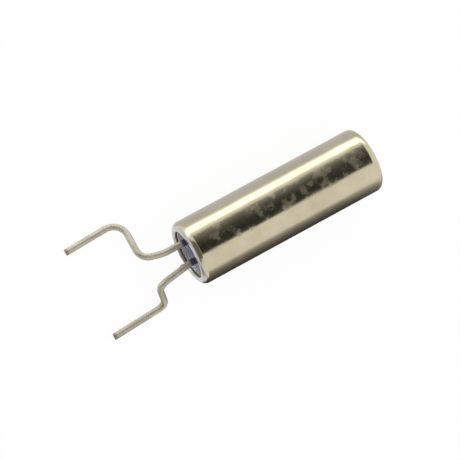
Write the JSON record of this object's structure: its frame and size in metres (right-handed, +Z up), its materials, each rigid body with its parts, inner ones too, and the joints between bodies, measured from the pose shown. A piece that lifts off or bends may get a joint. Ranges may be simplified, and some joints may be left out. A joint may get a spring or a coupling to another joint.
{
  "type": "quartz crystal unit",
  "caption": "Small cylindrical metal can holding a quartz tuning fork, with a glass seal and formed wire leads at one end, lying on its board.",
  "frame": {"origin": "on the board, straight under the middle of the can's mouth", "axes": "+X along the can from its mouth to its closed end, +Z up from the board, +Y towards the left lead"},
  "size_m": [0.0092, 0.0032, 0.002],
  "materials": {
    "can_metal": "drawn nickel silver, satin with a warm tint",
    "header_metal": "plated iron-nickel alloy, satin",
    "seal_glass": "blue-grey sealing glass, fired",
    "lead_wire": "tinned wire, satin",
    "quartz": "etched quartz with thin metal films",
    "solder": "dull solder"
  },
  "bodies": {
    "root": {"can": "can_metal", "header_ring": "header_metal", "glass_seal": "seal_glass", "left_lead": "lead_wire", "right_lead": "lead_wire", "quartz_fork": "quartz", "left_bond": "solder", "right_bond": "solder"}
  },
  "joints": []
}
